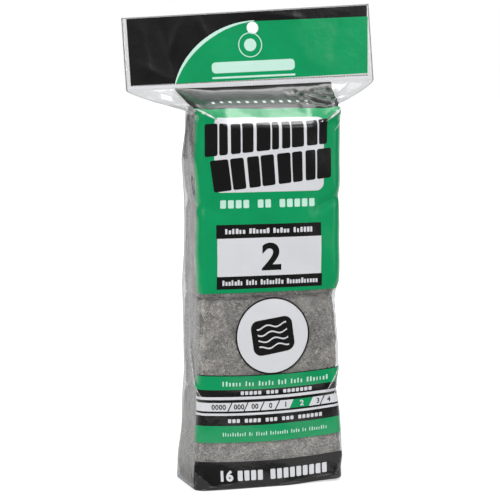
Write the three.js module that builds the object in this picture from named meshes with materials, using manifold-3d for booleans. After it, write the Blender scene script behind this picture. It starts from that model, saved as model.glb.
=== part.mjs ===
// A sealed retail pack of steel wool pads: four rows of four pads inside one printed film bag.
// The bag is a flat film tube. Its lower end is folded shut under the pads, and its upper end is
// pressed flat above them into a header with a hole for a display peg.
// Millimetres, +Z up. The origin is on the surface that the pack stands on, under its middle.
// The printed front faces -Y.
import * as THREE from "three";
import Module from "manifold-3d";
import { RoundedBoxGeometry } from "three/addons/geometries/RoundedBoxGeometry.js";
import { mergeVertices } from "three/addons/utils/BufferGeometryUtils.js";

const wasm = await Module();
wasm.setup();

// Pads: each stands on its long edge with its broad face to the front.
const padWidth = 106;
const padThickness = 17.2;
const padHeight = 69.6;
const padEdgeRadius = 5;
const rows = 4;
const layers = 4;
const padGap = 0.4;

// Film: the wall is drawn thicker than real film, so that it is a sound solid.
const filmThickness = 0.5;
const filmClearance = 0.4;
const filmSlack = 13.5;
const footCornerRadius = 0.8;
const cornerSegments = 4;
const straightSegments = 3;

// Upper end: the flare closes from the pads to the seam, and the header stands on the seam.
const flareHeight = 14;
const headerHeight = 53.5;
const seamDepth = 1;
const earSealWidth = 6;
const hangHoleDiameter = 9;
const hangHoleDrop = 11.5;

// Vent: a small hole through the back that lets the air out of the bag.
const ventDiameter = 5;
const ventDrop = 22;

const wall = filmThickness + filmClearance;
const bagWidth = padWidth + 2 * wall;
const bagDepth = layers * padThickness + (layers - 1) * padGap + 2 * wall;
const bodyHeight = rows * padHeight + (rows - 1) * padGap + 2 * wall;
const cornerRadius = padEdgeRadius + wall;
const halfGirth = bagWidth + bagDepth - (4 - Math.PI) * cornerRadius;
const headerWidth = halfGirth + filmSlack;
const headerThickness = 2 * filmThickness;
const seamZ = bodyHeight + flareHeight;
const headerTopZ = seamZ + headerHeight;

// Colours from the photograph.
const steelWool = new THREE.MeshStandardMaterial({
  color: 0x8d8a86,
  roughness: 0.6,
  metalness: 0.7,
});
const printedFilm = new THREE.MeshStandardMaterial({
  color: 0x0f9a58,
  roughness: 0.2,
  metalness: 0,
});

// A rounded rectangle seen from above, as points from the middle of the left side, round by the front.
// Its four quarters hold the same number of points, so that the left and right halves mirror each other.
function outline(width, depth, radius) {
  const x = width / 2 - radius;
  const y = depth / 2 - radius;
  const quarters = [
    { middle: [-width / 2, 0], centre: [-x, -y], next: [0, -depth / 2] },
    { middle: [0, -depth / 2], centre: [x, -y], next: [width / 2, 0] },
    { middle: [width / 2, 0], centre: [x, y], next: [0, depth / 2] },
    { middle: [0, depth / 2], centre: [-x, y], next: [-width / 2, 0] },
  ];
  const points = [];
  quarters.forEach(({ middle, centre, next }, quarter) => {
    const arc = [];
    for (let i = 0; i <= cornerSegments; i += 1) {
      const angle = Math.PI + (quarter + i / cornerSegments) * (Math.PI / 2);
      const spoke = new THREE.Vector2(Math.cos(angle), Math.sin(angle));
      arc.push(spoke.multiplyScalar(radius).add(new THREE.Vector2(...centre)));
    }
    const before = new THREE.Vector2(...middle);
    const after = new THREE.Vector2(...next);
    for (let i = 0; i < straightSegments; i += 1) {
      points.push(before.clone().lerp(arc[0], i / straightSegments));
    }
    points.push(...arc);
    for (let i = 1; i < straightSegments; i += 1) {
      points.push(arc[cornerSegments].clone().lerp(after, i / straightSegments));
    }
  });
  return points;
}

// How far round the outline each point lies, as a share of the whole.
function shares(points) {
  const lengths = [0];
  points.forEach((point, i) => {
    const next = points[(i + 1) % points.length];
    lengths.push(lengths[i] + point.distanceTo(next));
  });
  const total = lengths.pop();
  return lengths.map((length) => length / total);
}

function ringAt(points, z) {
  return points.map((point) => new THREE.Vector3(point.x, point.y, z));
}

// The same ring once the tube is pressed flat: the front half lies at -Y and the back half at +Y.
function flatRing(share, width, thickness, z) {
  return share.map((s) => {
    const front = s <= 0.5;
    const x = front ? -width / 2 + 2 * s * width : width / 2 - (2 * s - 1) * width;
    const onFold = s === 0 || Math.abs(s - 0.5) < 1e-9;
    const y = onFold ? 0 : ((front ? -1 : 1) * thickness) / 2;
    return new THREE.Vector3(x, y, z);
  });
}

// A closed skin over a stack of rings, with a fan of triangles over each end. The diagonals turn about
// from quarter to quarter, so that the four ears of the flare are alike.
function loft(rings) {
  const count = rings[0].length;
  const vertices = rings.flat();
  const middle = (ring) =>
    ring.reduce((sum, p) => sum.add(p), new THREE.Vector3()).divideScalar(count);
  const bottom = vertices.push(middle(rings[0])) - 1;
  const top = vertices.push(middle(rings[rings.length - 1])) - 1;
  const last = (rings.length - 1) * count;
  const index = [];
  for (let i = 0; i < count; i += 1) {
    const j = (i + 1) % count;
    const rising = Math.floor((4 * i) / count) % 2 === 0;
    for (let r = 0; r < rings.length - 1; r += 1) {
      const a = r * count;
      const b = a + count;
      if (rising) index.push(a + i, a + j, b + i, a + j, b + j, b + i);
      else index.push(a + i, a + j, b + j, a + i, b + j, b + i);
    }
    index.push(bottom, j, i, top, last + i, last + j);
  }
  const geometry = new THREE.BufferGeometry().setFromPoints(vertices);
  geometry.setIndex(index);
  return geometry;
}

function solidFrom(geometry) {
  const bare = geometry.clone();
  bare.deleteAttribute("normal");
  bare.deleteAttribute("uv");
  const merged = mergeVertices(bare, 1e-3);
  return new wasm.Manifold(
    new wasm.Mesh({
      numProp: 3,
      vertProperties: new Float32Array(merged.attributes.position.array),
      triVerts: new Uint32Array(merged.index.array),
    }),
  );
}

function geometryFrom(solid) {
  const mesh = solid.getMesh();
  const geometry = new THREE.BufferGeometry();
  geometry.setAttribute("position", new THREE.BufferAttribute(mesh.vertProperties, 3));
  geometry.setIndex(new THREE.BufferAttribute(mesh.triVerts, 1));
  geometry.computeVertexNormals();
  return geometry;
}

// A round cutter that runs along Y.
function holeAlongY(diameter, length, y, z) {
  const cutter = new THREE.CylinderGeometry(diameter / 2, diameter / 2, length, 24);
  return solidFrom(cutter.translate(0, y, z));
}

// The straight stretch of the tube and its rounded foot, as rings from the floor up, a given depth inside
// the outer face of the film.
function tubeRings(depthInside) {
  const radius = cornerRadius - depthInside;
  const rings = [];
  for (let i = 0; i <= cornerSegments; i += 1) {
    const angle = (i / cornerSegments) * (Math.PI / 2);
    const inset = depthInside + radius * (1 - Math.sin(angle));
    const corner = Math.max(cornerRadius - inset, footCornerRadius);
    const points = outline(bagWidth - 2 * inset, bagDepth - 2 * inset, corner);
    rings.push(ringAt(points, cornerRadius - radius * Math.cos(angle)));
  }
  rings.push(ringAt(rings[cornerSegments], bodyHeight));
  return rings;
}

// The outside of the bag: rounded foot, straight sides, flare and flat header.
function bagOutside() {
  const rings = tubeRings(0);
  const share = shares(rings[rings.length - 1]);
  return loft([
    ...rings,
    flatRing(share, headerWidth, headerThickness, seamZ),
    flatRing(share, headerWidth, headerThickness, headerTopZ),
  ]);
}

// The room inside the bag, one film thickness in from the outside, closed just under the seam.
function bagInside() {
  const rings = tubeRings(filmThickness);
  const share = shares(rings[rings.length - 1]);
  const width = headerWidth - 2 * earSealWidth;
  return loft([...rings, flatRing(share, width, filmThickness, seamZ - seamDepth)]);
}

function filmBag() {
  const hangHole = holeAlongY(
    hangHoleDiameter,
    4 * headerThickness,
    0,
    headerTopZ - hangHoleDrop,
  );
  const ventLength = 4 * filmThickness;
  const vent = holeAlongY(ventDiameter, ventLength, bagDepth / 2, bodyHeight - ventDrop);
  const solid = solidFrom(bagOutside()).subtract(solidFrom(bagInside()));
  const mesh = new THREE.Mesh(geometryFrom(solid.subtract(hangHole).subtract(vent)), printedFilm);
  mesh.name = "film_bag";
  return mesh;
}

function pad(row, layer) {
  const segments = 2;
  const geometry = new RoundedBoxGeometry(
    padWidth,
    padThickness,
    padHeight,
    segments,
    padEdgeRadius,
  );
  const mesh = new THREE.Mesh(geometry, steelWool);
  mesh.name = `pad_row${row + 1}_layer${layer + 1}`;
  mesh.position.set(
    0,
    wall - bagDepth / 2 + padThickness / 2 + layer * (padThickness + padGap),
    wall + padHeight / 2 + row * (padHeight + padGap),
  );
  return mesh;
}

// Row 1 is the lowest, and layer 1 lies against the printed front.
function padStack() {
  const stack = new THREE.Group();
  for (let row = 0; row < rows; row += 1) {
    for (let layer = 0; layer < layers; layer += 1) {
      stack.add(pad(row, layer));
    }
  }
  return stack;
}

const pack = new THREE.Group();
pack.add(filmBag(), padStack());

export default pack;
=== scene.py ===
import math
from collections import Counter

import bpy
import numpy as np
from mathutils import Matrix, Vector
from mathutils.geometry import delaunay_2d_cdt

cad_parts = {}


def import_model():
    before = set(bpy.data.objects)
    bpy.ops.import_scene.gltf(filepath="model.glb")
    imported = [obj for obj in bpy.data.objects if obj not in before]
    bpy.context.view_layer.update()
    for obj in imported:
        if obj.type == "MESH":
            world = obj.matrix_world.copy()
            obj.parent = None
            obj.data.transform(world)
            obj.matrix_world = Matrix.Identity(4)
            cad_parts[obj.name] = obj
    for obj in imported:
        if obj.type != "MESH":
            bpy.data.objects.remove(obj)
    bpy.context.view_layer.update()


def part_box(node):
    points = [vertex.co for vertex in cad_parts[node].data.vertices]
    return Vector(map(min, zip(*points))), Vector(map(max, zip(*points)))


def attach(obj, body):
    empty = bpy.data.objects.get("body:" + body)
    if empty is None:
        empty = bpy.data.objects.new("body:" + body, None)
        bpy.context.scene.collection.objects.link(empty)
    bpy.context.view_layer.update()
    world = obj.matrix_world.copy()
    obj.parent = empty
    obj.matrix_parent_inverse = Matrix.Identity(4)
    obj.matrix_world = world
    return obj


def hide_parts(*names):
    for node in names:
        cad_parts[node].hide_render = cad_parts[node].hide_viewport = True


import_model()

MM = 0.001
rng = np.random.default_rng(11)

# Sizes from the frame.
ROWS, LAYERS = 4, 4
bag_low, bag_high = (np.array(corner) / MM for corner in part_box("film_bag"))
first_pad_low, first_pad_high = (np.array(corner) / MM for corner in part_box("pad_row1_layer1"))
last_pad_high = np.array(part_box("pad_row4_layer4")[1]) / MM
PAD_SIZE = first_pad_high - first_pad_low
WALL = first_pad_low[2]
BODY_DEPTH = bag_high[1] - bag_low[1]
BODY_HEIGHT = last_pad_high[2] + WALL
HALF_FILM = bag_high[0]
HEADER_TOP = bag_high[2]
ROW_PITCH = (BODY_HEIGHT - WALL) / ROWS
LAYER_PITCH = (BODY_DEPTH - WALL) / LAYERS

# The flare and the header, above the pads.
FLARE_HEIGHT = 14
SEAM_Z = BODY_HEIGHT + FLARE_HEIGHT
HEADER_HEIGHT = HEADER_TOP - SEAM_Z
HANG_HOLE_RADIUS = 4.5
HANG_HOLE_Z = HEADER_TOP - 11.5
VENT_RADIUS = 2.5
VENT_Z = BODY_HEIGHT - 22
# How the header differs from a level rectangle. The slope and the flare raise its right end.
HEADER_SLOPE, HEADER_FLARE, HEADER_LEAN = 0.0379124, 0.042, 8.0
HEADER_STRETCH, HEADER_SHIFT, HEADER_SHEAR = 1.024, -1.8, -0.02

# Film coordinates: u runs across a ply from its middle, and v runs up it from the front's lower edge.
FOOT = BODY_DEPTH / 2
V_TOP_EDGE = BODY_HEIGHT
V_SEAM = BODY_HEIGHT + math.hypot(BODY_DEPTH / 2, FLARE_HEIGHT)
V_END = V_SEAM + HEADER_HEIGHT
FILM_THICKNESS = 0.15
PLY_GAP = 0.5


def ease(low, high, value):
    t = np.clip((value - low) / (high - low), 0, 1)
    return t * t * (3 - 2 * t)


# Half widths of the body's front and back on each side, as heights and the width at each height.
FRONT_LEFT = ([0, 16, 40, 66, 82, 105, 136, 172, 212, 240, 262, 282],
              [56, 57, 56, 54, 54, 55, 54, 55, 54, 56, 55, 54])
FRONT_RIGHT = ([0, 16, 36, 52, 67, 105, 136, 150, 198, 225, 262, 282],
               [59, 60, 59, 58, 56, 56, 53.6, 57.2, 57, 57, 57, 57.2])
BACK_LEFT = ([0, 16, 40, 66, 82, 104, 136, 172, 212, 240, 262, 282],
             [57, 56.5, 53.5, 51.5, 49.5, 51, 50.5, 49.5, 48.5, 51, 48.5, 47])
BACK_RIGHT = ([0, 30, 70, 105, 140, 175, 211, 245, 282], [55, 54, 50, 51.5, 49, 51.5, 49, 51.5, 47])
FRONT_CORNER, BACK_CORNER = 6.5, 22.0
# How far the faces swell, in each row of pads and over their whole height, and how much less the back does.
ROW_BULGE, CROWN, BACK_SUNK = 1.4, 0.91, 0.5


def row_swell(z):
    """1 in the middle of each row of pads, and 0 where two rows meet."""
    return np.abs(np.sin(np.pi * np.clip((z - WALL) / ROW_PITCH, 0, ROWS))) ** 0.6


def corner_inset(y):
    """How far the rounded corner pulls the side in at depth y."""
    radius = np.where(y < 0, FRONT_CORNER, BACK_CORNER)
    reach = np.clip(np.abs(y) - (BODY_DEPTH / 2 - radius), 0, radius)
    return radius - np.sqrt(radius**2 - reach**2)


def half_width(y, z, right):
    """The body's half width at depth y and height z, before its corners are rounded."""
    front_table, back_table = (FRONT_RIGHT, BACK_RIGHT) if right else (FRONT_LEFT, BACK_LEFT)
    toward_back = np.clip(y / BODY_DEPTH + 0.5, 0, 1)
    front, back = np.interp(z, *front_table), np.interp(z, *back_table)
    return front + (back - front) * toward_back


def face_depth(across, z, front):
    """How far the front or back face stands from the middle, where across is -1 to 1 over its width."""
    crown = (CROWN + ROW_BULGE * row_swell(z)) * (1 - across**2)
    return BODY_DEPTH / 2 - (ROW_BULGE + CROWN) + crown - np.where(front, 0, BACK_SUNK)


QUARTER_POINTS, DRAWN_WIDTH = 64, 54.0


def quarter(z, right, front):
    """Points of one quarter of the outline at height z, from the middle of its face to the fold at the side.
    It is drawn DRAWN_WIDTH wide, and then stretched to the body's own width."""
    radius = FRONT_CORNER if front else BACK_CORNER
    depth = BODY_DEPTH / 2
    straight, deep = DRAWN_WIDTH - radius, depth - radius
    flat = np.linspace(0, 1, QUARTER_POINTS, endpoint=False)
    turn = np.linspace(0, math.pi / 2, QUARTER_POINTS // 2, endpoint=False)
    wall = np.linspace(1, 0, QUARTER_POINTS // 2)
    x = np.concatenate([flat * straight, straight + radius * np.sin(turn), np.full(len(wall), DRAWN_WIDTH)])
    y = np.concatenate([np.full(len(flat), depth), deep + radius * np.cos(turn), wall * deep])
    sign = -1 if front else 1
    stretched = x * half_width(sign * y, z, right) / DRAWN_WIDTH
    across = np.clip(x / DRAWN_WIDTH, 0, 1)
    y = y * face_depth(across, z, front) / depth
    return np.stack([stretched * (1 if right else -1), sign * y], axis=1)


# How much film on each side of a ply's middle lies flat at full width. The rest takes up the slack.
FRONT_FLAT, BACK_FLAT = 60.0, 40.0


def along_quarter(points, u, flat):
    """The points on a quarter for film distances u from the middle of the ply, from 0 to HALF_FILM."""
    steps = np.hypot(*np.diff(points, axis=0).T)
    lengths = np.concatenate([[0], np.cumsum(steps)])
    beyond = (lengths[-1] - flat) / (HALF_FILM - flat)
    distance = np.where(u <= flat, u, flat + (u - flat) * beyond)
    return np.stack([np.interp(distance, lengths, points[:, k]) for k in (0, 1)], axis=1)


def both_ways(count):
    """Values from -HALF_FILM to HALF_FILM in even steps, count of them from 0 up."""
    half = HALF_FILM * np.linspace(0, 1, count)
    return np.concatenate([-half[:0:-1], half])


# Where the film's mesh has its columns and rows.
FRONT_U, BACK_U = both_ways(68), both_ways(38)
FILM_V = np.unique(np.concatenate([np.linspace(low, high, count) for low, high, count in (
    (-FOOT, -9, 8), (-9, -4, 4), (-4, 4, 11), (4, 9, 4), (9, BODY_HEIGHT - 20, 122),
    (BODY_HEIGHT - 20, V_SEAM, 44), (V_SEAM, V_END, 30),
)]))
# The foot's rounding, how far its front stands out, and how far it lifts everywhere and at the right.
FOOT_REACH, FOOT_BULGE, FOOT_LIFT, CORNER_LIFT = 1.8, 2.5, 0.25, 1.6
# The line under the pads that closes the tube: its share of the width, and its height.
CLOSING_SHARE, CLOSING_HEIGHT = 0.93, 0.9


def outline_at(z, front):
    """The whole ply's outline at height z, one point for each column of the mesh."""
    us, flat = (FRONT_U, FRONT_FLAT) if front else (BACK_U, BACK_FLAT)
    left, right = (along_quarter(quarter(z, side, front), np.abs(us), flat) for side in (False, True))
    return np.where(us[:, None] < 0, left, right)


def header_wave(u, v):
    """How far the loose header stands forward of a flat sheet."""
    loose = np.clip((v - V_SEAM) / HEADER_HEIGHT, 0, 1)
    wave = 0.9 * np.sin(u / 31 + 0.8) * loose + 0.5 * np.sin(u / 13 - 1.1) * loose * (1 - 0.4 * loose)
    return wave - HEADER_LEAN * loose


def on_body(v, us, front):
    """A row of the ply round the body, at height v."""
    lift = FOOT_LIFT + CORNER_LIFT * ease(15, 60, us)
    row = np.column_stack([outline_at(v, front), v + lift * ease(10, 0, v)])
    if front:
        row[:, 1] -= FOOT_BULGE * ease(24, 0, v) * ease(58, 20, np.abs(us + 14))
    return row


def under_body(v, us, front):
    """A row of the underside, where each ply runs in to the line that closes the tube."""
    edge = on_body(0.0, us, front)
    count = len(us)
    line = np.column_stack([edge[:, 0] * CLOSING_SHARE, np.zeros(count), np.full(count, CLOSING_HEIGHT)])
    return edge + (line - edge) * (-v / FOOT)


def on_header(v, us, front):
    """A row of the flat header, from the seam up."""
    y = np.full(len(us), (-1 if front else 1) * PLY_GAP / 2)
    y[[0, -1]] = 0
    up = v - V_SEAM
    x = us * HEADER_STRETCH + HEADER_SHIFT + HEADER_SHEAR * up
    taller = 1 + HEADER_FLARE * (0.5 + us / HALF_FILM)
    return np.column_stack([x, y - header_wave(us, v), SEAM_Z + up * taller + us * HEADER_SLOPE])


# How far below the body's top the film bends in: in the middle, at the corners and at the ears.
TOP_BEND, CORNER_BEND = 17.0, 4.0
LEFT_EAR_BEND, RIGHT_EAR_BEND = 6.0, 9.0
# How far the film hangs straight down from the seam at the ears and in the middle.
LEFT_EAR_DROP, RIGHT_EAR_DROP, MIDDLE_DROP = 2.5, 5.0, 8.0
# The way the facet over the pads leans.
FACET_IN, FACET_UP = 0.62, 0.8


def drape(v, us, front):
    """A row of the top. The film leans in over the pads in a facet, tall in the middle and shallow at the
    corners, and rises again to the seam. At the sides it spreads out to the ends of the header."""
    middle = ease(56, 29, np.abs(us - 2))
    ear_bend = np.where(us < 0, LEFT_EAR_BEND, RIGHT_EAR_BEND)
    ear_drop = np.where(us < 0, LEFT_EAR_DROP, RIGHT_EAR_DROP)
    reach = (CORNER_BEND + (TOP_BEND - CORNER_BEND) * middle
             + (ear_bend - CORNER_BEND) * ease(58, 72, np.abs(us)))
    start = V_TOP_EDGE - reach
    seam = on_header(V_SEAM, us, front)
    shoulder = on_body(V_TOP_EDGE - RIGHT_EAR_BEND, us, front)
    shoulder[:, 2] = start
    toward = seam - shoulder
    toward /= np.linalg.norm(toward, axis=1, keepdims=True)
    inward = np.array([0, FACET_IN * (1 if front else -1), FACET_UP])
    lean = middle[:, None] * inward + (1 - middle[:, None]) * toward
    low = on_body(min(v, V_TOP_EDGE), us, front)
    low[:, 2] = np.minimum(v, start)
    share = np.clip((v - start) / reach, 0, 1)
    eased = np.where(share < 0.3, share**2 / 0.6, share - 0.15) / 0.85
    rise = np.column_stack([eased, eased, share]) * reach[:, None]
    facet = low + lean * rise
    if v <= V_TOP_EDGE:
        return facet
    t = (v - V_TOP_EDGE) / (V_SEAM - V_TOP_EDGE)
    leave = facet + lean * (3 + 6 * middle)[:, None]
    arrive = seam - np.array([0, 0, 1.0]) * (ear_drop + (MIDDLE_DROP - ear_drop) * middle)[:, None]
    return (1 - t) ** 3 * facet + 3 * (1 - t) ** 2 * t * leave + 3 * (1 - t) * t**2 * arrive + t**3 * seam


def film_row(v, front):
    us = FRONT_U if front else BACK_U
    if v < -FOOT_REACH:
        return under_body(v, us, front)
    if v < FOOT_REACH:
        before, after = under_body(-FOOT_REACH, us, front), on_body(FOOT_REACH, us, front)
        edge = on_body(0.0, us, front)
        t = (v + FOOT_REACH) / (2 * FOOT_REACH)
        return (1 - t) ** 2 * before + 2 * t * (1 - t) * edge + t**2 * after
    return drape(v, us, front) if v < V_SEAM else on_header(v, us, front)


# Creases in the film, in film coordinates: from, to, half width, height outwards.
CREASES = [
    ((-70, 231), (-56, 211), 1.5, 1.5), ((-78, 105), (-52, 69), 1.8, 1.5), ((-62, 212), (-30, 203), 4, -0.9),
    ((60, 216), (34, 203), 3.2, -1.7), ((60, 146), (30, 138), 4.5, -1.2), ((-60, 146), (-34, 139), 4.5, -1.1),
    ((62, 92), (43, 66), 1.8, 1.2), ((64, 74), (40, 62), 3, -1.1), ((-58, 276), (-36, 270), 2.5, 0.8),
    ((60, 277), (38, 268), 2.4, 1), ((-64, 18), (-55, 3), 2, 1.4), ((60, 24), (52, 4), 2, 1),
    ((36, 8), (60, 2), 1.6, 1), ((44, 19), (61, 9), 1.5, -0.9), ((8, 2), (44, 6), 1.6, 0.8),
    ((-50, 3), (-18, 6), 1.6, 0.8), ((-58, 15), (-44, 3), 1.7, 1), ((34, 300), (62, 288), 2.6, 1.2),
    ((20, 306), (44, 292), 2.2, -0.9), ((-62, 300), (-44, 288), 2.2, 0.6), ((-88, 310), (-64, 287), 2, 0.7),
    ((-84, 302), (-60, 283), 1.8, -0.6), ((-74, 314), (-56, 290), 1.8, 0.5), ((88, 310), (64, 287), 2, 0.9),
    ((82, 303), (58, 282), 1.8, -0.8), ((74, 314), (58, 292), 1.8, 0.8), ((-58, 281), (-40, 271), 1.5, 0.8),
    ((60, 281), (44, 270), 1.5, 0.8), ((-82, 372), (-76, 326), 3.6, 0.5), ((-66, 372), (-57, 330), 3.4, -0.5),
    ((-50, 370), (-64, 338), 2.6, 0.4), ((-86, 340), (-58, 324), 3, 0.3), ((-40, 372), (-30, 352), 3.4, 0.4),
    ((4, 372), (40, 366), 2.2, 0.5), ((30, 360), (48, 330), 6, 0.3), ((70, 366), (62, 334), 5, -0.4),
]


def crease_height(u, v):
    """The sum of the creases at film points u, v."""
    total = np.zeros_like(u)
    for (u0, v0), (u1, v1), width, height in CREASES:
        du, dv = u1 - u0, v1 - v0
        length = math.hypot(du, dv)
        along = ((u - u0) * du + (v - v0) * dv) / length**2
        off = ((u - u0) * dv - (v - v0) * du) / length
        fade = ease(-0.15, 0.25, along) * ease(1.15, 0.75, along)
        total += height * fade / (1 + (off / width) ** 2)
    return total


def crumple(u, v):
    """The crushed right end of the flare."""
    window = ease(18, 34, u) * ease(68, 56, u) * ease(282, 288, v) * ease(316, 306, v)
    waves = np.sin(u / 1.9 + v / 3.1) * np.sin(v / 2.3 - u / 4.3) + 0.6 * np.sin(u / 3.7 - v / 1.7)
    return 0.45 * window * waves


def film_relief(u, v, front):
    """Slack, pleats and creases of the film, as a height outwards."""
    body = ease(-2, 12, v) * ease(V_SEAM, V_SEAM - 8, v)
    flat = FRONT_FLAT if front else BACK_FLAT
    side = ease(flat - 6, flat + 8, np.abs(u))
    phase = u / 8.5 + 0.7 * np.sin(v / 27 + np.sign(u)) + 0.35 * np.sin(v / 9.5 + u / 14)
    ripple = 0.05 * np.sin(u / 3.1 + 1.6 * np.sin(v / 23)) * np.sin(v / 31 + u / 17)
    pleats = side * (0.09 * np.sin(np.pi * phase * 0.8) + ripple)
    swim = 0.22 * np.sin(u / 9.3 + v / 21) * np.sin(v / 17 - u / 33) + 0.12 * np.sin(v / 5.1 + u / 7.7)
    height = body * (pleats + swim)
    if front:
        height = height + crease_height(u, v) + crumple(u, v)
    else:
        height = height + body * 0.8 * np.sin(u / 23 + v / 31) * np.sin(v / 19)
    return height


def grid_normals(sheet, front):
    normal = np.cross(np.gradient(sheet, axis=1), np.gradient(sheet, axis=0))
    normal /= np.linalg.norm(normal, axis=2, keepdims=True) + 1e-12
    return normal if front else -normal


def ply(front):
    """One ply of the film, with its relief. In the header both move together, so that they stay apart."""
    sheet = np.array([film_row(v, front) for v in FILM_V])
    u, v = np.meshgrid(FRONT_U if front else BACK_U, FILM_V)
    height = film_relief(u, v, front)
    normal = grid_normals(sheet, front)
    in_header = ease(V_SEAM - 10, V_SEAM, v)
    fold_fade = ease(HALF_FILM, HALF_FILM - 6, np.abs(u))
    if not front:
        height = np.where(in_header > 0.5, 0.0, height) - in_header * crease_height(u, v)
    share = in_header[..., None]
    direction = normal * (1 - share) + share * np.array([0, -1 if front else 1, 0])
    return sheet + direction * (height * fold_fade)[..., None]


front_sheet, back_sheet = ply(True), ply(False)
front_sheet[:, [0, -1]] = back_sheet[:, [0, -1]] = (front_sheet[:, [0, -1]] + back_sheet[:, [0, -1]]) / 2
front_normals = grid_normals(front_sheet, True)
back_normals = grid_normals(back_sheet, False)


TABLE_X, TABLE_Z = np.linspace(-50, 50, 51), np.linspace(2, 292, 146)


def depth_table(sheet):
    """The film's y over the grid of TABLE_X and TABLE_Z, for the body and the flare."""
    rows = sheet[(FILM_V > 1) & (FILM_V < V_SEAM - 1)]
    y_at, z_at = (np.array([np.interp(TABLE_X, row[:, 0], row[:, k]) for row in rows]) for k in (1, 2))
    return np.array([np.interp(TABLE_Z, z, y) for z, y in zip(z_at.T, y_at.T)])


FRONT_DEPTH, BACK_DEPTH = depth_table(front_sheet), depth_table(back_sheet)


def between(grid, i, j, s, t):
    """The value of a grid inside its cell i, j, at the shares s and t of the cell."""
    low = (1 - t) * grid[i, j] + t * grid[i, j + 1]
    high = (1 - t) * grid[i + 1, j] + t * grid[i + 1, j + 1]
    return (1 - s) * low + s * high


def film_depth(table, x, z):
    s, t = (np.clip((at - stops[0]) / (stops[1] - stops[0]), 0, len(stops) - 1.001)
            for at, stops in ((x, TABLE_X), (z, TABLE_Z)))
    i, j = s.astype(int), t.astype(int)
    return between(table, i, j, s - i, t - j)


# Mesh helpers.
def linked(name, data):
    """A new object for the data, in the scene."""
    made = bpy.data.objects.new(name, data)
    bpy.context.scene.collection.objects.link(made)
    return made


def mesh_of(name, vertices, faces):
    mesh = bpy.data.meshes.new(name)
    mesh.from_pydata((np.asarray(vertices) * MM).tolist(), [], [list(map(int, face)) for face in faces])
    return mesh


def new_piece(name, vertices, faces, material):
    mesh = mesh_of(name, vertices, faces)
    mesh.validate()
    mesh.update()
    mesh.polygons.foreach_set("use_smooth", [True] * len(mesh.polygons))
    mesh.materials.append(material)
    piece = linked(name, mesh)
    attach(piece, "root")
    return piece


def on_film(u, v, lift):
    """Points and normals on the front ply at film coordinates u, v, lifted off it."""
    i = np.clip(np.searchsorted(FILM_V, v) - 1, 0, len(FILM_V) - 2)
    j = np.clip(np.searchsorted(FRONT_U, u) - 1, 0, len(FRONT_U) - 2)
    s = ((v - FILM_V[i]) / (FILM_V[i + 1] - FILM_V[i]))[:, None]
    t = ((u - FRONT_U[j]) / (FRONT_U[j + 1] - FRONT_U[j]))[:, None]
    normal = between(front_normals, i, j, s, t)
    normal /= np.linalg.norm(normal, axis=1, keepdims=True)
    return between(front_sheet, i, j, s, t) + normal * lift, normal


# Flat shapes for the print, as loops of points.
def oblong(u0, v0, u1, v1, radius=0.0, steps=6):
    if radius <= 0:
        return np.array([[u0, v0], [u1, v0], [u1, v1], [u0, v1]], float)
    points = []
    for cu, cv, start in ((u1 - radius, v0 + radius, -90), (u1 - radius, v1 - radius, 0),
                          (u0 + radius, v1 - radius, 90), (u0 + radius, v0 + radius, 180)):
        for k in range(steps + 1):
            angle = math.radians(start + 90 * k / steps)
            points.append([cu + radius * math.cos(angle), cv + radius * math.sin(angle)])
    return np.array(points)


def circle(cu, cv, radius, steps=72):
    angles = np.linspace(0, 2 * np.pi, steps, endpoint=False)
    return np.stack([cu + radius * np.cos(angles), cv + radius * np.sin(angles)], axis=1)


def glyphs(text, cu, cv, height, stretch=1.0, bold=0.03):
    """Plain digits as loops of points, centred on cu, cv."""
    curve = bpy.data.curves.new("digits", "FONT")
    curve.body = text
    curve.resolution_u = 5
    curve.offset = bold
    curve.space_character = 1.08
    holder = linked("digits", curve)
    bpy.context.view_layer.update()
    mesh = holder.to_mesh()
    points = np.array([vertex.co[:2] for vertex in mesh.vertices])
    uses = Counter(edge for polygon in mesh.polygons for edge in polygon.edge_keys)
    border = {}
    for (a, b), count in uses.items():
        if count == 1:
            border.setdefault(a, []).append(b)
            border.setdefault(b, []).append(a)
    loops, left = [], set(border)
    while left:
        loop = [left.pop()]
        onward = [n for n in border[loop[0]] if n in left]
        while onward:
            loop.append(onward[0])
            left.discard(onward[0])
            onward = [n for n in border[loop[-1]] if n in left]
        loops.append(points[loop])
    holder.to_mesh_clear()
    bpy.data.objects.remove(holder)
    bpy.data.curves.remove(curve)
    low, high = points.min(0), points.max(0)
    scale = height / (high[1] - low[1])
    middle = (low + high) / 2
    return [(loop - middle) * [scale * stretch, scale] + [cu, cv] for loop in loops]


def fine_edge(loop, step):
    points = []
    for a, b in zip(loop, np.roll(loop, -1, axis=0)):
        count = max(1, int(math.ceil(np.hypot(*(b - a)) / step)))
        points += [a + (b - a) * k / count for k in range(count)]
    return np.array(points)


def inside(points, loops):
    """True for the points that lie inside the loops, with loops within loops as holes."""
    odd = np.zeros(len(points), bool)
    for loop in loops:
        for a, b in zip(loop, np.roll(loop, -1, axis=0)):
            crosses = (a[1] > points[:, 1]) != (b[1] > points[:, 1])
            if abs(b[1] - a[1]) < 1e-12:
                continue
            at = a[0] + (points[:, 1] - a[1]) * (b[0] - a[0]) / (b[1] - a[1])
            odd ^= crosses & (points[:, 0] < at)
    return odd


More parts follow.
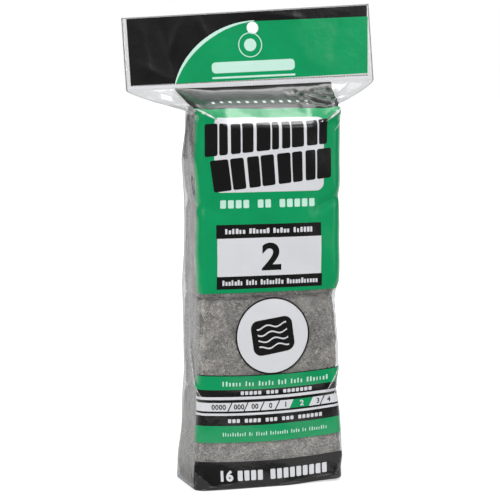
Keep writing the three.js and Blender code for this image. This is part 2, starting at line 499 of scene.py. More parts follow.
def fill(loops, step):
    """Triangles that fill the loops, with points inside so that they can follow a curved surface."""
    loops = [fine_edge(loop, step) for loop in loops]
    border = np.concatenate(loops)
    low, high = border.min(0), border.max(0)
    gu, gv = np.meshgrid(*[np.arange(low[k] + step / 2, high[k], step) for k in (0, 1)])
    inner = np.column_stack([gu.ravel(), gv.ravel()])
    inner = inner[inside(inner, loops)]
    near = np.full(len(inner), 1e9)
    for part in np.array_split(border, max(1, len(border) // 200)):
        near = np.minimum(near, np.sqrt(((inner[:, None] - part[None]) ** 2).sum(2)).min(1))
    points = np.concatenate([border, inner[near > step * 0.45]])
    edges = []
    start = 0
    for loop in loops:
        edges += [(start + k, start + (k + 1) % len(loop)) for k in range(len(loop))]
        start += len(loop)
    out = delaunay_2d_cdt([Vector(p) for p in points], edges, [], 0, 1e-6)
    flat = np.array([list(p) for p in out[0]])
    triangles = np.array([f for f in out[2] if len(f) == 3])
    middles = flat[triangles].mean(1)
    return flat, triangles[inside(middles, loops)]


# In the lower rows the film, and the print with it, hangs lower in the middle than at the sides.
SAG, SAG_HALF_WIDTH = 2.2, 54.0
PRINT_LIFT, PRINT_RISE = 2.25, 0.008


def sagged(points):
    """Print points moved by the film's sag, and by the slight rise of the lower print to the right."""
    share = ease(150, 90, points[:, 1]) * ease(-14, 2, points[:, 1])
    dip = SAG * np.clip(1 - (points[:, 0] / SAG_HALF_WIDTH) ** 2, 0, 1)
    rise = PRINT_LIFT + PRINT_RISE * points[:, 0] - dip
    return points + np.column_stack([np.zeros(len(points)), rise * share])


# The print's thickness, how far its lowest layer lies off the film, and the step from layer to layer.
INK_THICKNESS, INK_LIFT, INK_STEP = 0.04, 0.07, 0.09


def ink(name, shapes, level, material, step=2.0):
    """One thin closed layer of ink. Each shape is a list of loops, and level is its place in the stack."""
    lift = INK_LIFT + INK_STEP * level
    vertices, normals, faces = [], [], []
    start = 0
    for loops in shapes:
        flat, triangles = fill(loops, step)
        flat = sagged(flat)
        count = len(flat)
        for height, side in ((lift + INK_THICKNESS, 1), (lift, -1)):
            points, normal = on_film(*flat.T, height)
            vertices.append(points)
            normals.append(normal * side)
        faces += (triangles + start).tolist()
        faces += (triangles[:, ::-1] + start + count).tolist()
        directed = {(a, b) for t in triangles.tolist() for a, b in zip(t, t[1:] + t[:1])}
        for a, b in directed:
            if (b, a) not in directed:
                faces.append([b + start, a + start, a + start + count, b + start + count])
        start += 2 * count
    piece = new_piece(name, np.concatenate(vertices), faces, material)
    piece.data.normals_split_custom_set_from_vertices(np.concatenate(normals).tolist())
    return piece


# Materials.
def material_with(name):
    material = bpy.data.materials.new(name)
    material.use_nodes = True
    material.node_tree.nodes.clear()
    return material, material.node_tree


def finished(material, shader):
    """The material, with the shader sent to its output."""
    node(material.node_tree, "OutputMaterial", {"Surface": shader.outputs[0]})
    return material


def node(tree, kind, inputs=(), **settings):
    made = tree.nodes.new("ShaderNode" + kind)
    for key, value in settings.items():
        setattr(made, key, value)
    for key, value in dict(inputs).items():
        if hasattr(value, "is_output"):
            tree.links.new(value, made.inputs[key])
        else:
            made.inputs[key].default_value = value
    return made


def maths(tree, operation, *values):
    return node(tree, "Math", dict(enumerate(values)), operation=operation).outputs[0]


def ranged(tree, value, *limits):
    """The value, moved from the range between the first two limits to that between the last two."""
    return node(tree, "MapRange", {"Value": value, **dict(enumerate(limits, 1))}).outputs[0]


def object_place(tree):
    return node(tree, "TexCoord").outputs["Object"]


def noise(tree, vector, scale, detail, **more):
    inputs = {"Vector": vector, "Scale": scale, "Detail": detail, **more}
    return node(tree, "TexNoise", inputs).outputs["Fac"]


def tone(tree, value, ends, colours):
    """A colour that runs from the first to the second as the value runs from one end to the other."""
    ramp = node(tree, "ValToRGB", {"Fac": value})
    for stop, end, colour in zip(ramp.color_ramp.elements, ends, colours):
        stop.position, stop.color = end, (*colour, 1)
    return ramp.outputs["Color"]


def mixed(tree, share, first, second):
    """Two shaders, with this share of the second."""
    return node(tree, "MixShader", {0: share, 1: first.outputs[0], 2: second.outputs[0]})


def film_bump(tree, strength, distance):
    """The fine crinkle of thin film."""
    place = object_place(tree)
    height = maths(tree, "MULTIPLY_ADD", noise(tree, place, 420.0, 2.0), 0.18, noise(tree, place, 90.0, 3.0))
    inputs = {"Height": height, "Strength": strength, "Distance": distance}
    return node(tree, "Bump", inputs).outputs["Normal"]


def ink_material(name, colour, roughness, variation):
    """Glossy print. variation is the share by which its colour goes down and up."""
    material, tree = material_with(name)
    cloud = noise(tree, object_place(tree), 35.0, 4.0)
    colours = [[min(1, c * (1 + sign * variation)) for c in colour] for sign in (-1, 1)]
    bump = film_bump(tree, 0.35, 0.0007)
    return finished(material, node(tree, "BsdfPrincipled", {
        "Base Color": tone(tree, cloud, (0.3, 0.7), colours), "Roughness": roughness, "Normal": bump,
        "Coat Weight": 0.5, "Coat Roughness": 0.12, "Coat Normal": bump,
    }))


def clear_film_material():
    """Thin clear film: it mirrors more and lets less through as it turns edge on."""
    material, tree = material_with("clear_film")
    bump = film_bump(tree, 0.3, 0.0006)
    facing = node(tree, "LayerWeight", {"Blend": 0.5, "Normal": bump}).outputs["Facing"]
    mirror = maths(tree, "MULTIPLY_ADD", maths(tree, "POWER", facing, 5.0), 0.32, 0.045)
    tint = node(tree, "Mix", {
        0: maths(tree, "POWER", facing, 3.0), 6: (0.945, 0.947, 0.95, 1), 7: (0.5, 0.51, 0.52, 1),
    }, data_type="RGBA").outputs[2]
    clear = node(tree, "BsdfTransparent", {"Color": tint})
    gloss = node(tree, "BsdfGlossy", {"Color": (1, 1, 1, 1), "Roughness": 0.17, "Normal": bump})
    haze_and_painted_highlight = node(tree, "BsdfDiffuse", {"Color": (0.86, 0.87, 0.87, 1), "Normal": bump})
    return finished(material, mixed(tree, mirror, mixed(tree, 0.03, clear, haze_and_painted_highlight), gloss))


def fold_painted_highlight_material():
    """A painted highlight along a sharp fold of the film: a white haze, in patches set by noise, over clear
    film.
    """
    material, tree = material_with("film_fold")
    share = ranged(tree, noise(tree, object_place(tree), 260.0, 3.0), 0.35, 0.65, 0.15, 0.7)
    clear = node(tree, "BsdfTransparent", {"Color": (1, 1, 1, 1)})
    # The white diffuse here is the painted highlight of the fold.
    haze_and_painted_highlight = node(tree, "BsdfDiffuse", {"Color": (0.85, 0.86, 0.86, 1)})
    return finished(material, mixed(tree, share, clear, haze_and_painted_highlight))


# The turn and the scale of each of the crossed patterns of fibres.
WOOL_PATTERNS = (((0.4, 1.0, 0.3), 1250.0), ((0.2, -0.7, 1.1), 1500.0), ((-0.5, 2.2, -0.4), 1100.0))


def steel_wool_material(name, dark, light):
    """Crossed patterns of drawn-out noise, over broader clumps."""
    material, tree = material_with(name)
    place = object_place(tree)
    mass = 0.0
    for turn, scale in WOOL_PATTERNS:
        inputs = {"Vector": place, "Rotation": turn, "Scale": (1.0, 1.0, 3.0)}
        turned_place = node(tree, "Mapping", inputs, vector_type="TEXTURE").outputs[0]
        pattern = noise(tree, turned_place, scale, 3.0, Roughness=0.6, Distortion=0.5)
        mass = maths(tree, "MAXIMUM", mass, pattern)
    level = maths(tree, "MULTIPLY_ADD", noise(tree, place, 110.0, 4.0, Roughness=0.6), 0.3, mass)
    bump = node(tree, "Bump", {"Height": mass, "Strength": 1.0, "Distance": 0.0006})
    return finished(material, node(tree, "BsdfPrincipled", {
        "Base Color": tone(tree, level, (0.64, 0.86), (dark, light)),
        "Metallic": 0.4, "Roughness": 0.5, "Normal": bump.outputs["Normal"],
    }))


BLACK = ink_material("ink_black", (0.0075, 0.007, 0.007), 0.2, 0.2)
GREEN = ink_material("ink_green", (0.0, 0.272, 0.092), 0.22, 0.07)
MINT = ink_material("ink_mint", (0.5, 0.74, 0.64), 0.25, 0.04)
WHITE = ink_material("ink_white", (0.62, 0.625, 0.65), 0.25, 0.03)
# White haze painted along the film's folds as their highlight.
FOLD_PAINTED_HIGHLIGHT = fold_painted_highlight_material()
# Grey ink painted along the film's folds and cut top as painted shade.
EDGE_PAINTED_SHADE = ink_material("painted_shade_edge_ink", (0.2, 0.2, 0.215), 0.3, 0.1)
FILM = clear_film_material()
WOOL = steel_wool_material("steel_wool", (0.1, 0.094, 0.085), (0.87, 0.82, 0.745))
STRAND = steel_wool_material("steel_strand", (0.34, 0.325, 0.3), (0.92, 0.89, 0.84))


# The bag of clear film, as one thin closed shell.
def film_bag():
    ring = np.concatenate([front_sheet, back_sheet[:, -2:0:-1]], axis=1)
    normals = np.concatenate([front_normals, back_normals[:, -2:0:-1]], axis=1)
    for column, side in ((0, -1), (len(FRONT_U) - 1, 1)):
        normals[:, column] = (side, 0, 0)
    rows, around = ring.shape[:2]
    offset = rows * around
    vertices = np.concatenate([sheet.reshape(-1, 3) for sheet in (ring, ring - normals * FILM_THICKNESS)])
    faces = []
    for i in range(rows - 1):
        for j in range(around):
            k = (j + 1) % around
            face = (i * around + j, i * around + k, (i + 1) * around + k, (i + 1) * around + j)
            faces += [face, [offset + corner for corner in face[::-1]]]
    top = (rows - 1) * around
    for j in range(around):
        k = (j + 1) % around
        faces.append((top + j, top + k, offset + top + k, offset + top + j))
        faces.append((k, j, offset + j, offset + k))
    return new_piece("film_bag_clear", vertices, faces, FILM)


def cutter_mesh(cuts, steps=40):
    """Cylinders along Y. Each cut is its x, z, radius, and the y it runs between."""
    points, faces = [], []
    for x, z, radius, y0, y1 in cuts:
        near = len(points)
        far = near + steps
        points += [(u, y, w) for y in (y0, y1) for u, w in circle(x, z, radius, steps)]
        for k in range(steps):
            onward = (k + 1) % steps
            faces.append((near + k, far + k, far + onward, near + onward))
        faces += [tuple(range(near, far)), tuple(range(far + steps - 1, far - 1, -1))]
    return mesh_of("punch", points, faces)


HANG_HOLE = (0, HANG_HOLE_Z, HANG_HOLE_RADIUS, -20, 20)
VENT = (0, VENT_Z, VENT_RADIUS, BODY_DEPTH / 2 - 6, BODY_DEPTH / 2 + 6)


def punch(piece, cuts=(HANG_HOLE,)):
    """Cuts round holes through a piece of the bag."""
    cutter = linked("punch", cutter_mesh(cuts))
    cut = piece.modifiers.new("hole", "BOOLEAN")
    cut.object, cut.operation, cut.solver = cutter, "DIFFERENCE", "EXACT"
    bpy.context.view_layer.update()
    baked = bpy.data.meshes.new_from_object(piece.evaluated_get(bpy.context.evaluated_depsgraph_get()))
    piece.modifiers.clear()
    piece.data = baked
    bpy.data.objects.remove(cutter)


bag = film_bag()
punch(bag, (HANG_HOLE, VENT))
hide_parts("film_bag")


# The print on the header. Heights are given above the seam.
def above_seam(loop):
    return loop + [0, V_SEAM]


HEADER_LEFT, HEADER_RIGHT, HEADER_RIGHT_LOW = -HALF_FILM + 3.6, HALF_FILM - 1.6, HALF_FILM - 4.6
HEADER_LOW, HEADER_LOW_RIGHT, HEADER_HIGH, GREEN_HIGH_RIGHT = 3.4, 4.6, 52.5, 44.6
SWEEP_CENTRE, SWEEP_RADII = (4.0, -12.0), (64.3, 58.3)


def sweep(margin, steps=40):
    """The curved edge of the green field, from its foot to its top. margin moves it in at mid length."""
    start = math.pi - math.asin((HEADER_LOW - SWEEP_CENTRE[1]) / SWEEP_RADII[1])
    angles = np.linspace(start, math.pi / 2, steps)
    swell = margin * np.sin(np.linspace(0, np.pi, steps)) + margin * 0.35
    return np.stack([SWEEP_CENTRE[0] + (SWEEP_RADII[0] - swell) * np.cos(angles),
                     SWEEP_CENTRE[1] + (SWEEP_RADII[1] - swell * 0.8) * np.sin(angles)], axis=1)


def header_print():
    low_right = [HEADER_RIGHT_LOW, HEADER_LOW_RIGHT]
    high = [[HEADER_RIGHT, HEADER_HIGH], [HEADER_LEFT, HEADER_HIGH]]
    black = np.array([[HEADER_LEFT, HEADER_LOW], low_right, *high])
    outer, inner = sweep(0.0), sweep(2.2)
    field = np.vstack([inner, [[HEADER_RIGHT, GREEN_HIGH_RIGHT], low_right]])
    for part, loop, level, material in (
        ("black", black, 0, BLACK), ("green", field, 1, GREEN),
        ("crescent", np.vstack([outer, inner[::-1]]), 2, MINT),
    ):
        punch(ink(f"print_header_{part}", [[above_seam(loop)]], level, material))
    seal = oblong(-HALF_FILM + 1, 0.6, HALF_FILM - 1, 2.4)
    ticks = [oblong(at, 2.9, at + 1.1, 3.7) for at in np.arange(-HALF_FILM + 4, HALF_FILM - 4, 2.2)]
    ink("seal_line", [[above_seam(seal)]], 0, WHITE)
    ink("seal_ticks", [[above_seam(tick)] for tick in ticks], 1, BLACK)
    marks = ([circle(0, 28.8, 9.0), circle(0, 28.8, 8.3)], [circle(0, 28.8, 4.6)],
             [oblong(-30, 9.4, 33, 17.4, 3.0)], [oblong(-30, 5.4, 33, 6.8, 0.6)])
    ink("print_header_marks", [[above_seam(loop) for loop in loops] for loops in marks], 2, MINT)


header_print()


def painted_shade_on_edges():
    """Painted shade: a grey band along the folds at the sides of the header and the ears, and along the cut
    top, for the dark line that film shows there edge on.
    """
    half = HALF_FILM - 0.25
    sides = [[oblong(left, BODY_HEIGHT + 6, left + 0.6, V_END - 0.2)] for left in (-half, half - 0.6)]
    top = [[oblong(-half, V_END - 0.8, half, V_END - 0.25)]]
    ink("painted_shade_on_edges", sides + top, 1, EDGE_PAINTED_SHADE)


painted_shade_on_edges()


# The print on the body.
EDGE_LEFT, EDGE_RIGHT = -57.5, 59.0


def block_row(u0, u1, v0, v1, groups, even=False, share=0.74, widths=(0.58, 0.8)):
    """A row of small plain blocks. groups are the numbers of blocks between the wider gaps."""
    space = 0.9
    pitch = (u1 - u0) / (sum(groups) + space * (len(groups) - 1))
    shapes, at = [], u0
    for count in groups:
        for k in range(count):
            width = pitch * (share if even else rng.uniform(*widths))
            height = (v1 - v0) * (1.0 if even or k == 0 or rng.random() < 0.3 else 0.74)
            shapes.append([oblong(at, v0, at + width, v0 + height, width * 0.18, 2)])
            at += pitch
        at += pitch * space
    return shapes


# Two rows of heavy blocks. Each row gives its blocks' widths, in pairs that stand closer together, and its
# lower left, upper left, lower right and upper right corners.
STENCIL_LINES = (
    ((9, 6, 7, 8, 10, 5, 6, 9, 8, 6), ((-49, 244.6), (-49, 268.4), (44.4, 253.0), (44.4, 271.4))),
    ((12, 9, 8, 9, 9, 7, 7, 10), ((-42, 219.0), (-45.4, 241.8), (47.6, 228.2), (47.6, 250.0))),
)


def stencil_blocks():
    shapes = []
    for widths, corners in STENCIL_LINES:
        low_left, high_left, low_right, high_right = (np.array(corner, float) for corner in corners)
        gaps = [1.1 if k % 2 == 0 else 2.2 for k in range(len(widths) - 1)] + [0.0]
        total = sum(widths) + sum(gaps)
        at = 0.0
        for width, gap in zip(widths, gaps):
            loop = oblong(0, 0, width, 20, 1.3, 3)
            s = (at + loop[:, :1]) / total
            low = low_left + (low_right - low_left) * s
            high = high_left + (high_right - high_left) * s
            shapes.append([low + (high - low) * loop[:, 1:] / 20])
            at += width + gap
    return shapes


def panel_print():
    ink("print_flare_black", [[oblong(-58.5, 282.5, 60.5, V_SEAM - 0.8)]], 0, BLACK)
    ink("print_flare_line", block_row(-38, 40, 291.0, 294.4, (12,), True, 0.36), 1, WHITE)
    ink("print_panel_green", [[oblong(EDGE_LEFT, 145.3, EDGE_RIGHT, 282.4, 4.0)]], 0, GREEN)
    white = [[oblong(-42, 218.7, 42, 274.2, 5.5)], [oblong(-39.8, 157.6, 40.2, 185.4)]]
    black = [[oblong(-40.6, 185.4, 40.0, 195.3)], [oblong(-40.2, 148.3, 41.0, 157.6)]]
    ink("print_panel_white", white, 1, WHITE, 1.6)
    ink("print_panel_black", black, 1, BLACK)
    ink("print_stencil", stencil_blocks(), 2, BLACK, 1.4)
    ink("print_grade", [glyphs("2", 1.2, 171.5, 20.2, 1.12, 0.032)], 2, BLACK, 1.5)
    ink("print_panel_lines", block_row(-37.3, 36.5, 207.2, 213.2, (4, 2, 5), True), 1, MINT)
    lines = block_row(-34, 34, 188.6, 192.4, (6, 6, 5, 6))
    lines += block_row(-36, 38, 151.0, 154.9, (7, 4, 8, 11))
    ink("print_bar_lines", lines, 2, WHITE)


DISC_CENTRE, DISC_TURN = (2.3, 112.7), math.radians(8)


def turned(loop):
    """A loop of the disc's drawing, turned about the disc's centre."""
    cosine, sine = math.cos(DISC_TURN), math.sin(DISC_TURN)
    return (loop - DISC_CENTRE) @ np.array([[cosine, sine], [-sine, cosine]]) + DISC_CENTRE


def disc_print():
    """A white disc with a drawing of a pad, four waves on a rounded block."""
    u, v = DISC_CENTRE
    ink("print_disc", [[circle(u, v, 27.5)]], 0, WHITE)
    ink("print_disc_rim", [[circle(u, v, 28.5), circle(u, v, 27.4)]], 1, BLACK)
    pad = oblong(u - 16, v - 13, u + 16, v + 13, 6)
    ink("print_disc_pad", [[turned(pad)]], 1, BLACK)
    waves = []
    for k in range(4):
        along = np.linspace(-11.5, 11.5, 28)
        rise = 1.1 * np.sin(along / 2.3 + k)
        upper = np.stack([along, rise + 0.55], axis=1)
        lower = np.stack([along, rise - 0.55], axis=1)[::-1]
        wave = np.vstack([upper, lower]) + DISC_CENTRE + [0, -7.5 + 5.0 * k]
        waves.append([turned(wave)])
    ink("print_disc_waves", waves, 2, WHITE)


SCALE_LOW, SCALE_HIGH, SCALE_LEAN = 57.8, 64.1, 3.2
BANDS = (
    ("print_band_green", GREEN, ((73.5, 83.7), (34.5, 47.0))),
    ("print_band_black", BLACK, (
        (83.7, 84.4), (68.3, 73.5), (64.1, 66.2), (56.3, 57.8), (47.0, 54.6), (-14.0, 20.2),
    )),
    ("print_band_white", WHITE, ((66.2, 68.3), (SCALE_LOW, SCALE_HIGH), (54.6, 56.3))),
)
DIVIDERS = (-30.5, -18.1, -5.7, 6.1, 41.6)
GRADES = (("0000", -39), ("000", -23.5), ("00", -11.3), ("0", 0.8), ("1", 12.5), ("3", 38.2), ("4", 47.0))


def on_scale(low, high):
    """A slanted field of the scale, from low to high at mid height."""
    half = SCALE_LEAN / 2
    upper = [[high + half, SCALE_HIGH], [low + half, SCALE_HIGH]]
    return [np.array([[low - half, SCALE_LOW], [high - half, SCALE_LOW], *upper])]


def band_print():
    for name, material, spans in BANDS:
        shapes = [[oblong(EDGE_LEFT, low, EDGE_RIGHT, high)] for low, high in spans]
        ink(name, shapes, 0, material)
    middle = (SCALE_LOW + SCALE_HIGH) / 2
    marks = [on_scale(at - 0.42, at + 0.42) for at in DIVIDERS]
    marks += [glyphs(text, at, middle, 3.8, 1.0, 0.022) for text, at in GRADES]
    ink("print_scale_marks", marks, 1, BLACK)
    ink("print_scale_chosen", [on_scale(17.1, 32.4)], 1, GREEN)
    ink("print_scale_number", [glyphs("2", 25.2, middle, 4.2, 1.1)], 2, WHITE)
    lines = block_row(-36, 47, 76.2, 79.8, (6, 3, 5, 3, 4, 7), widths=(0.36, 0.54))
    lines += block_row(-36, 46, 39.2, 42.0, (10, 2, 5, 8, 4, 2, 8), widths=(0.3, 0.48))
    ink("print_green_lines", lines, 1, MINT)
    lines = block_row(-22, 34, 69.6, 72.3, (5, 3, 7), True)
    lines += block_row(-32, 42, 49.2, 52.0, (3, 4, 3, 3, 6), True)
    ink("print_black_lines", lines, 1, WHITE)
    count = [glyphs("16", -33.2, 10.0, 8.2, 1.05, 0.045)]
    ink("print_foot_lines", count + block_row(-25, 46.5, 6.2, 13.6, (4, 9), True), 1, WHITE)


# Painted highlights along sharp folds of the film, as thin white slivers: from, to, half width.
PAINTED_FOLD_HIGHLIGHTS = (
    ((-72, 233), (-56, 210), 0.6), ((-80, 108), (-50, 66), 0.6), ((62, 93), (44, 66), 0.5),
    ((63, 76), (48, 60), 0.4), ((-66, 18), (-58, 3), 0.4), ((-58, 281), (-38, 270), 0.6),
    ((60, 281), (43, 269), 0.6), ((62, 276), (50, 262), 0.4), ((-86, 300), (-62, 284), 0.5),
    ((-80, 304), (-56, 290), 0.4), ((84, 303), (62, 286), 0.5), ((76, 306), (54, 293), 0.4),
    ((36, 303), (60, 288), 0.4),
)


def painted_fold_highlights():
    shapes = []
    for (u0, v0), (u1, v1), half in PAINTED_FOLD_HIGHLIGHTS:
        t = np.linspace(0, 1, 14)[1:-1]
        middle = np.column_stack([u0 + (u1 - u0) * t, v0 + (v1 - v0) * t])
        across = np.array([v0 - v1, u1 - u0]) / math.hypot(u1 - u0, v1 - v0)
        swell = (half * np.sin(np.pi * t))[:, None] * across
        shapes.append([np.vstack([[[u0, v0]], middle + swell, [[u1, v1]], (middle - swell)[::-1]])])
    # Thin white slivers on the film, painted highlights of its sharp folds.
    ink("film_fold_marks", shapes, 3, FOLD_PAINTED_HIGHLIGHT, 4.0)


panel_print()
disc_print()
band_print()
painted_fold_highlights()


# The pads.
def rounded_box(size, radius, cells):
    """A closed box with rounded edges, centred on the origin, as vertices and four-sided faces."""
    index, vertices, faces = {}, [], []

    def at(*cell):
        if cell not in index:
            index[cell] = len(vertices)
            vertices.append([2 * k / count - 1 for k, count in zip(cell, cells)])
        return index[cell]

    for a, b, c, way in ((0, 2, 1, 1), (0, 1, 2, -1), (1, 2, 0, -1)):
        for s, t in np.ndindex(cells[a], cells[b]):
            for level, order in ((0, way), (cells[c], -way)):
                face = []
                for corner in ((s, t), (s + 1, t), (s + 1, t + 1), (s, t + 1))[::order]:
                    place = dict(zip((a, b, c), (*corner, level)))
                    face.append(at(place[0], place[1], place[2]))
                faces.append(face)
    half = np.array(size) / 2
    points = np.array(vertices) * half
    core = np.clip(points, -(half - radius), half - radius)
    away = points - core
    length = np.linalg.norm(away, axis=1, keepdims=True)
    rounded = core + away / np.maximum(length, 1e-9) * np.minimum(length, radius)
    return np.where(length > 1e-9, rounded, points), faces


# The room between a pad and the film, the radius of a pad's edges, and how much flatter its corners are.
PAD_CLEARANCE, PAD_EDGE, CORNER_VOID = 0.9, 2.8, 5.0
# How far the lowest pads stand up off the fold under them.
FOOT_RISE = 0.3
# How far a pad's body lies under the fibres of its face, and how much deeper those of its sides lie.
BODY_UNDER, SIDE_DEPTH = 0.45, 0.55
# For the outer layers and for those between: cells of a pad's mesh, the number of its fibres, and the share
# of them that lies on its broad face.
OUTER_DETAIL = {0: ((84, 14, 56), 2250, 0.82), LAYERS - 1: ((58, 12, 40), 900, 0.8)}
INNER_DETAIL = ((44, 10, 30), 220, 0.0)
FIBRE_SIDES, FIBRE_STEPS = 3, 6


def pad_space(points, row, layer):
    """Moves points of a plain pad block to the room that this pad has inside the bag."""
    z = WALL + PAD_SIZE[2] / 2 + row * ROW_PITCH + points[:, 2]
    z = z + (FOOT_RISE + CORNER_LIFT * ease(15, 60, points[:, 0])) * ease(12, 0, z)
    y = points[:, 1] + (layer - (LAYERS - 1) / 2) * LAYER_PITCH
    right = points[:, 0] > 0
    reach = np.where(right, half_width(y, z, True), half_width(y, z, False)) - corner_inset(y) - PAD_CLEARANCE
    across = np.clip(points[:, 0] / (PAD_SIZE[0] / 2), -1, 1)
    depth = face_depth(across, z, y < 0) - PAD_CLEARANCE
    near_end = ease(0.72, 1.0, np.abs(points[:, 2]) / (PAD_SIZE[2] / 2))
    near_side = ease(0.66, 1.0, np.abs(across))
    x, y = across * reach, y / (BODY_DEPTH / 2) * (depth - CORNER_VOID * near_end * near_side)
    foremost = film_depth(FRONT_DEPTH, x, z) + PAD_CLEARANCE
    rearmost = film_depth(BACK_DEPTH, x, z) - PAD_CLEARANCE
    return np.column_stack([x, np.clip(y, foremost, rearmost), z])


def fibre_relief(points, row, layer):
    """Loose waves over a pad's surface."""
    shift = row * 1.7 + layer * 2.9
    x, y, z = points.T
    return (0.30 * np.sin(x / 4.3 + shift + 1.3 * np.sin(z / 11)) * np.sin(z / 5.7 - shift)
            + 0.22 * np.sin((x + z) / 2.1 + y / 3) + 0.15 * np.sin(x / 1.3 - z / 1.9 + shift))


def pad_body(row, layer, cells):
    points, faces = rounded_box(PAD_SIZE, PAD_EDGE, cells)
    placed = pad_space(points, row, layer)
    outward = placed - placed.mean(0)
    outward /= np.linalg.norm(outward, axis=1, keepdims=True)
    return placed - outward * (BODY_UNDER + fibre_relief(placed, row, layer))[:, None], faces


def fibre_path(span, length, low, high):
    """A winding path over a face of half size span, as shares of that size."""
    heading = rng.uniform(0, math.pi)
    place = np.array([rng.uniform(-1, 1), rng.uniform(-1, 1)])
    bend = rng.normal(0, 0.28)
    path = []
    for _ in range(FIBRE_STEPS):
        path.append(place)
        place = place + np.array([math.cos(heading), math.sin(heading)]) * (length / FIBRE_STEPS) / span
        heading += bend + rng.normal(0, 0.16)
    return np.clip(np.array(path), low, high)


def fibre_prism(curve, outward, width, start):
    """A thin closed prism along a curve. Its vertices are counted from start."""
    along = np.gradient(curve, axis=0)
    along /= np.linalg.norm(along, axis=1, keepdims=True) + 1e-9
    flank = np.cross(along, outward)
    flank /= np.linalg.norm(flank, axis=1, keepdims=True) + 1e-9
    vertices, faces = [], []
    for s in range(FIBRE_STEPS):
        for k in range(FIBRE_SIDES):
            angle = 2 * math.pi * k / FIBRE_SIDES
            spoke = flank[s] * math.cos(angle) + outward[s] * math.sin(angle)
            vertices.append(curve[s] + spoke * width)
    for s in range(FIBRE_STEPS - 1):
        ring = start + s * FIBRE_SIDES
        for k in range(FIBRE_SIDES):
            a, b = ring + k, ring + (k + 1) % FIBRE_SIDES
            faces.append((a, b, b + FIBRE_SIDES, a + FIBRE_SIDES))
    end = start + (FIBRE_STEPS - 1) * FIBRE_SIDES
    return vertices, faces + [(start + 2, start + 1, start), (end, end + 1, end + 2)]


def strands(row, layer, count, front_share):
    """Loose fibres over the pad's open faces. Between two rows they may reach past the pad's end."""
    half = PAD_SIZE / 2
    low = (-0.97, -0.97 if row == 0 else -1.025)
    high = (0.97, 0.97 if row == ROWS - 1 else 1.025)
    vertices, faces = [], []
    for _ in range(count):
        length = rng.uniform(6, 17)
        on_face = rng.random() < front_share
        wide, thick = (0, 1) if on_face else (1, 0)
        path = fibre_path(half[[wide, 2]], length, low, high)
        side = (-1 if layer == 0 else 1) if on_face else rng.choice((-1, 1))
        block = np.zeros((FIBRE_STEPS, 3))
        block[:, wide] = path[:, 0] * half[wide] * (1 if on_face else 0.9)
        block[:, thick] = side * half[thick]
        block[:, 2] = path[:, 1] * half[2]
        curve = pad_space(block, row, layer)
        outward = np.zeros_like(curve)
        outward[:, thick] = side
        height = rng.uniform(-0.35, 0.45) - (0 if on_face else SIDE_DEPTH)
        waves = 0.18 * np.sin(np.arange(FIBRE_STEPS) + rng.uniform(0, 6))
        curve = curve + outward * (height + waves)[:, None]
        added, added_faces = fibre_prism(curve, outward, rng.uniform(0.09, 0.2), len(vertices))
        vertices += added
        faces += added_faces
    return np.array(vertices), faces


def steel_wool_pad(row, layer):
    name = f"wool_row{row + 1}_layer{layer + 1}"
    cells, count, front_share = OUTER_DETAIL.get(layer, INNER_DETAIL)
    points, faces = pad_body(row, layer, cells)
    body = new_piece(name, points, faces, WOOL)
    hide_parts(f"pad_row{row + 1}_layer{layer + 1}")
    threads, thread_faces = strands(row, layer, count, front_share)
    new_piece(f"{name}_fibres", threads, thread_faces, STRAND)


for pad_row in range(ROWS):
    for pad_layer in range(LAYERS):
        steel_wool_pad(pad_row, pad_layer)


# Stage: floor, light and camera.
# The floor ends in front of the pack, so that the printed front mirrors the dim side of the room.
FLOOR_REACH, FLOOR_FRONT = 9000, -300


def sight(tree):
    """1 for what the camera sees, also through clear things, and 1 for what gloss mirrors."""
    rays = node(tree, "LightPath").outputs
    return maths(tree, "MAXIMUM", rays["Is Camera Ray"], rays["Is Transmission Ray"]), rays["Is Glossy Ray"]


def floor():
    """A matte floor, white where it is seen, and less so near the pack, where it keeps the shadow."""
    left, right, front, back = -FLOOR_REACH, FLOOR_REACH, FLOOR_FRONT, FLOOR_REACH
    corners = [(left, front, 0), (right, front, 0), (right, back, 0), (left, back, 0)]
    mesh = mesh_of("floor", corners, [(0, 1, 2, 3)])
    plane = linked("floor", mesh)
    material, tree = material_with("floor")
    place = object_place(tree)
    depth = node(tree, "SeparateXYZ", {0: place}).outputs["Y"]
    straight, mirrored = sight(tree)
    behind = ranged(tree, depth, -0.03, 0.1, 0.0, 1.0)
    seen = maths(tree, "MAXIMUM", straight, maths(tree, "MULTIPLY", mirrored, behind))
    away = node(tree, "VectorMath", {0: place}, operation="LENGTH").outputs["Value"]
    glow = maths(tree, "MULTIPLY", seen, ranged(tree, away, 0.15, 1.0, 0.62, 1.0))
    matte = node(tree, "BsdfDiffuse", {"Color": (0.55, 0.55, 0.55, 1)})
    light = node(tree, "Emission", {"Color": (1, 1, 1, 1), "Strength": glow})
    both = node(tree, "AddShader", {0: matte.outputs[0], 1: light.outputs[0]})
    mesh.materials.append(finished(material, both))


# The world's strength as it lights the object, and as gloss mirrors its dim side, its ceiling and, in the
# direction BACKDROP, its white backdrop.
ROOM_LIGHT, DIM_SIDE, CEILING = 0.45, 0.05, 0.6
BACKDROP = (0.3, 0.954, 0.0)


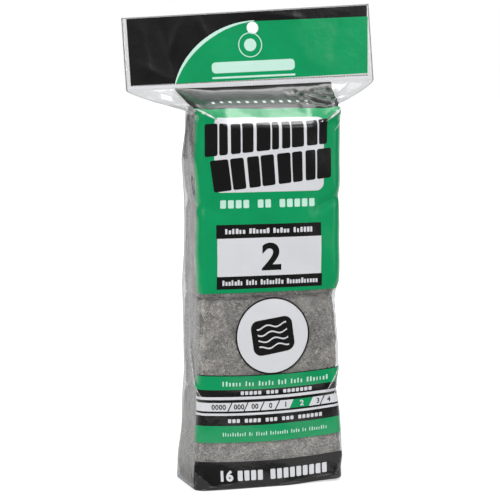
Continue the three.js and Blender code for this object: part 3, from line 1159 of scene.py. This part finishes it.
def world():
    """A dim room with a paler ceiling and a white backdrop behind the pack."""
    sky = bpy.data.worlds.new("studio")
    bpy.context.scene.world = sky
    sky.use_nodes = True
    tree = sky.node_tree
    tree.nodes.clear()
    way = node(tree, "TexCoord").outputs["Generated"]
    height = node(tree, "SeparateXYZ", {0: way}).outputs["Z"]
    toward = node(tree, "VectorMath", {0: way, 1: BACKDROP}, operation="DOT_PRODUCT")
    behind = ranged(tree, toward.outputs["Value"], 0.9, 0.98, DIM_SIDE, 1.0)
    room = maths(tree, "MAXIMUM", behind, ranged(tree, height, 0.25, 0.8, DIM_SIDE, CEILING))
    straight, mirrored = sight(tree)
    unseen = node(tree, "Mix", {0: mirrored, 2: ROOM_LIGHT, 3: room})
    strength = node(tree, "Mix", {0: straight, 2: unseen.outputs[0], 3: 1.0})
    light = node(tree, "Background", {"Color": (1, 1, 1, 1), "Strength": strength.outputs[0]})
    node(tree, "OutputWorld", {"Surface": light.outputs[0]})


def aimed(name, data, place, target):
    """A new lamp or camera that looks from its place at the target."""
    made = linked(name, data)
    made.location = place
    made.rotation_mode = "QUATERNION"
    made.rotation_quaternion = (Vector(target) - Vector(place)).to_track_quat("-Z", "Y")
    return made


def softbox(name, place, aim, width, height, power):
    lamp = bpy.data.lights.new(name, "AREA")
    lamp.shape = "RECTANGLE"
    lamp.size, lamp.size_y, lamp.energy = width, height, power
    aimed(name, lamp, place, aim)


AIM = Vector((-3.7, 0.0, 172.55)) * MM
CAMERA_PLACE = Vector((-431.4, -1319.2, 323.5)) * MM
LENS_TO_SENSOR = 1868.0 / 500.0


def camera():
    data = bpy.data.cameras.new("camera")
    data.sensor_width = 36.0
    data.lens = data.sensor_width * LENS_TO_SENSOR
    data.clip_start, data.clip_end = 0.05, 50.0
    bpy.context.scene.camera = aimed("camera", data, CAMERA_PLACE, AIM)


floor()
world()
softbox("key_above", (0.505, -0.36, 1.77), (0, -0.03, 0.27), 0.55, 0.6, 6.5)
softbox("overhead", (0.3, 0.35, 1.7), (0.1, 0.1, 0.2), 0.8, 0.6, 4)
softbox("front_left", (-1.1, -1.9, 1.45), (0, 0, 0.15), 1.0, 1.0, 47)
softbox("front_right", (1.3, -1.7, 1.5), (0, 0, 0.15), 0.9, 0.9, 5)
softbox("dim_strip", (1.15, -1.5, 0.5), (0, 0, 0.3), 0.5, 1.4, 1.0)
camera()
bpy.context.scene.view_settings.view_transform = "Standard"
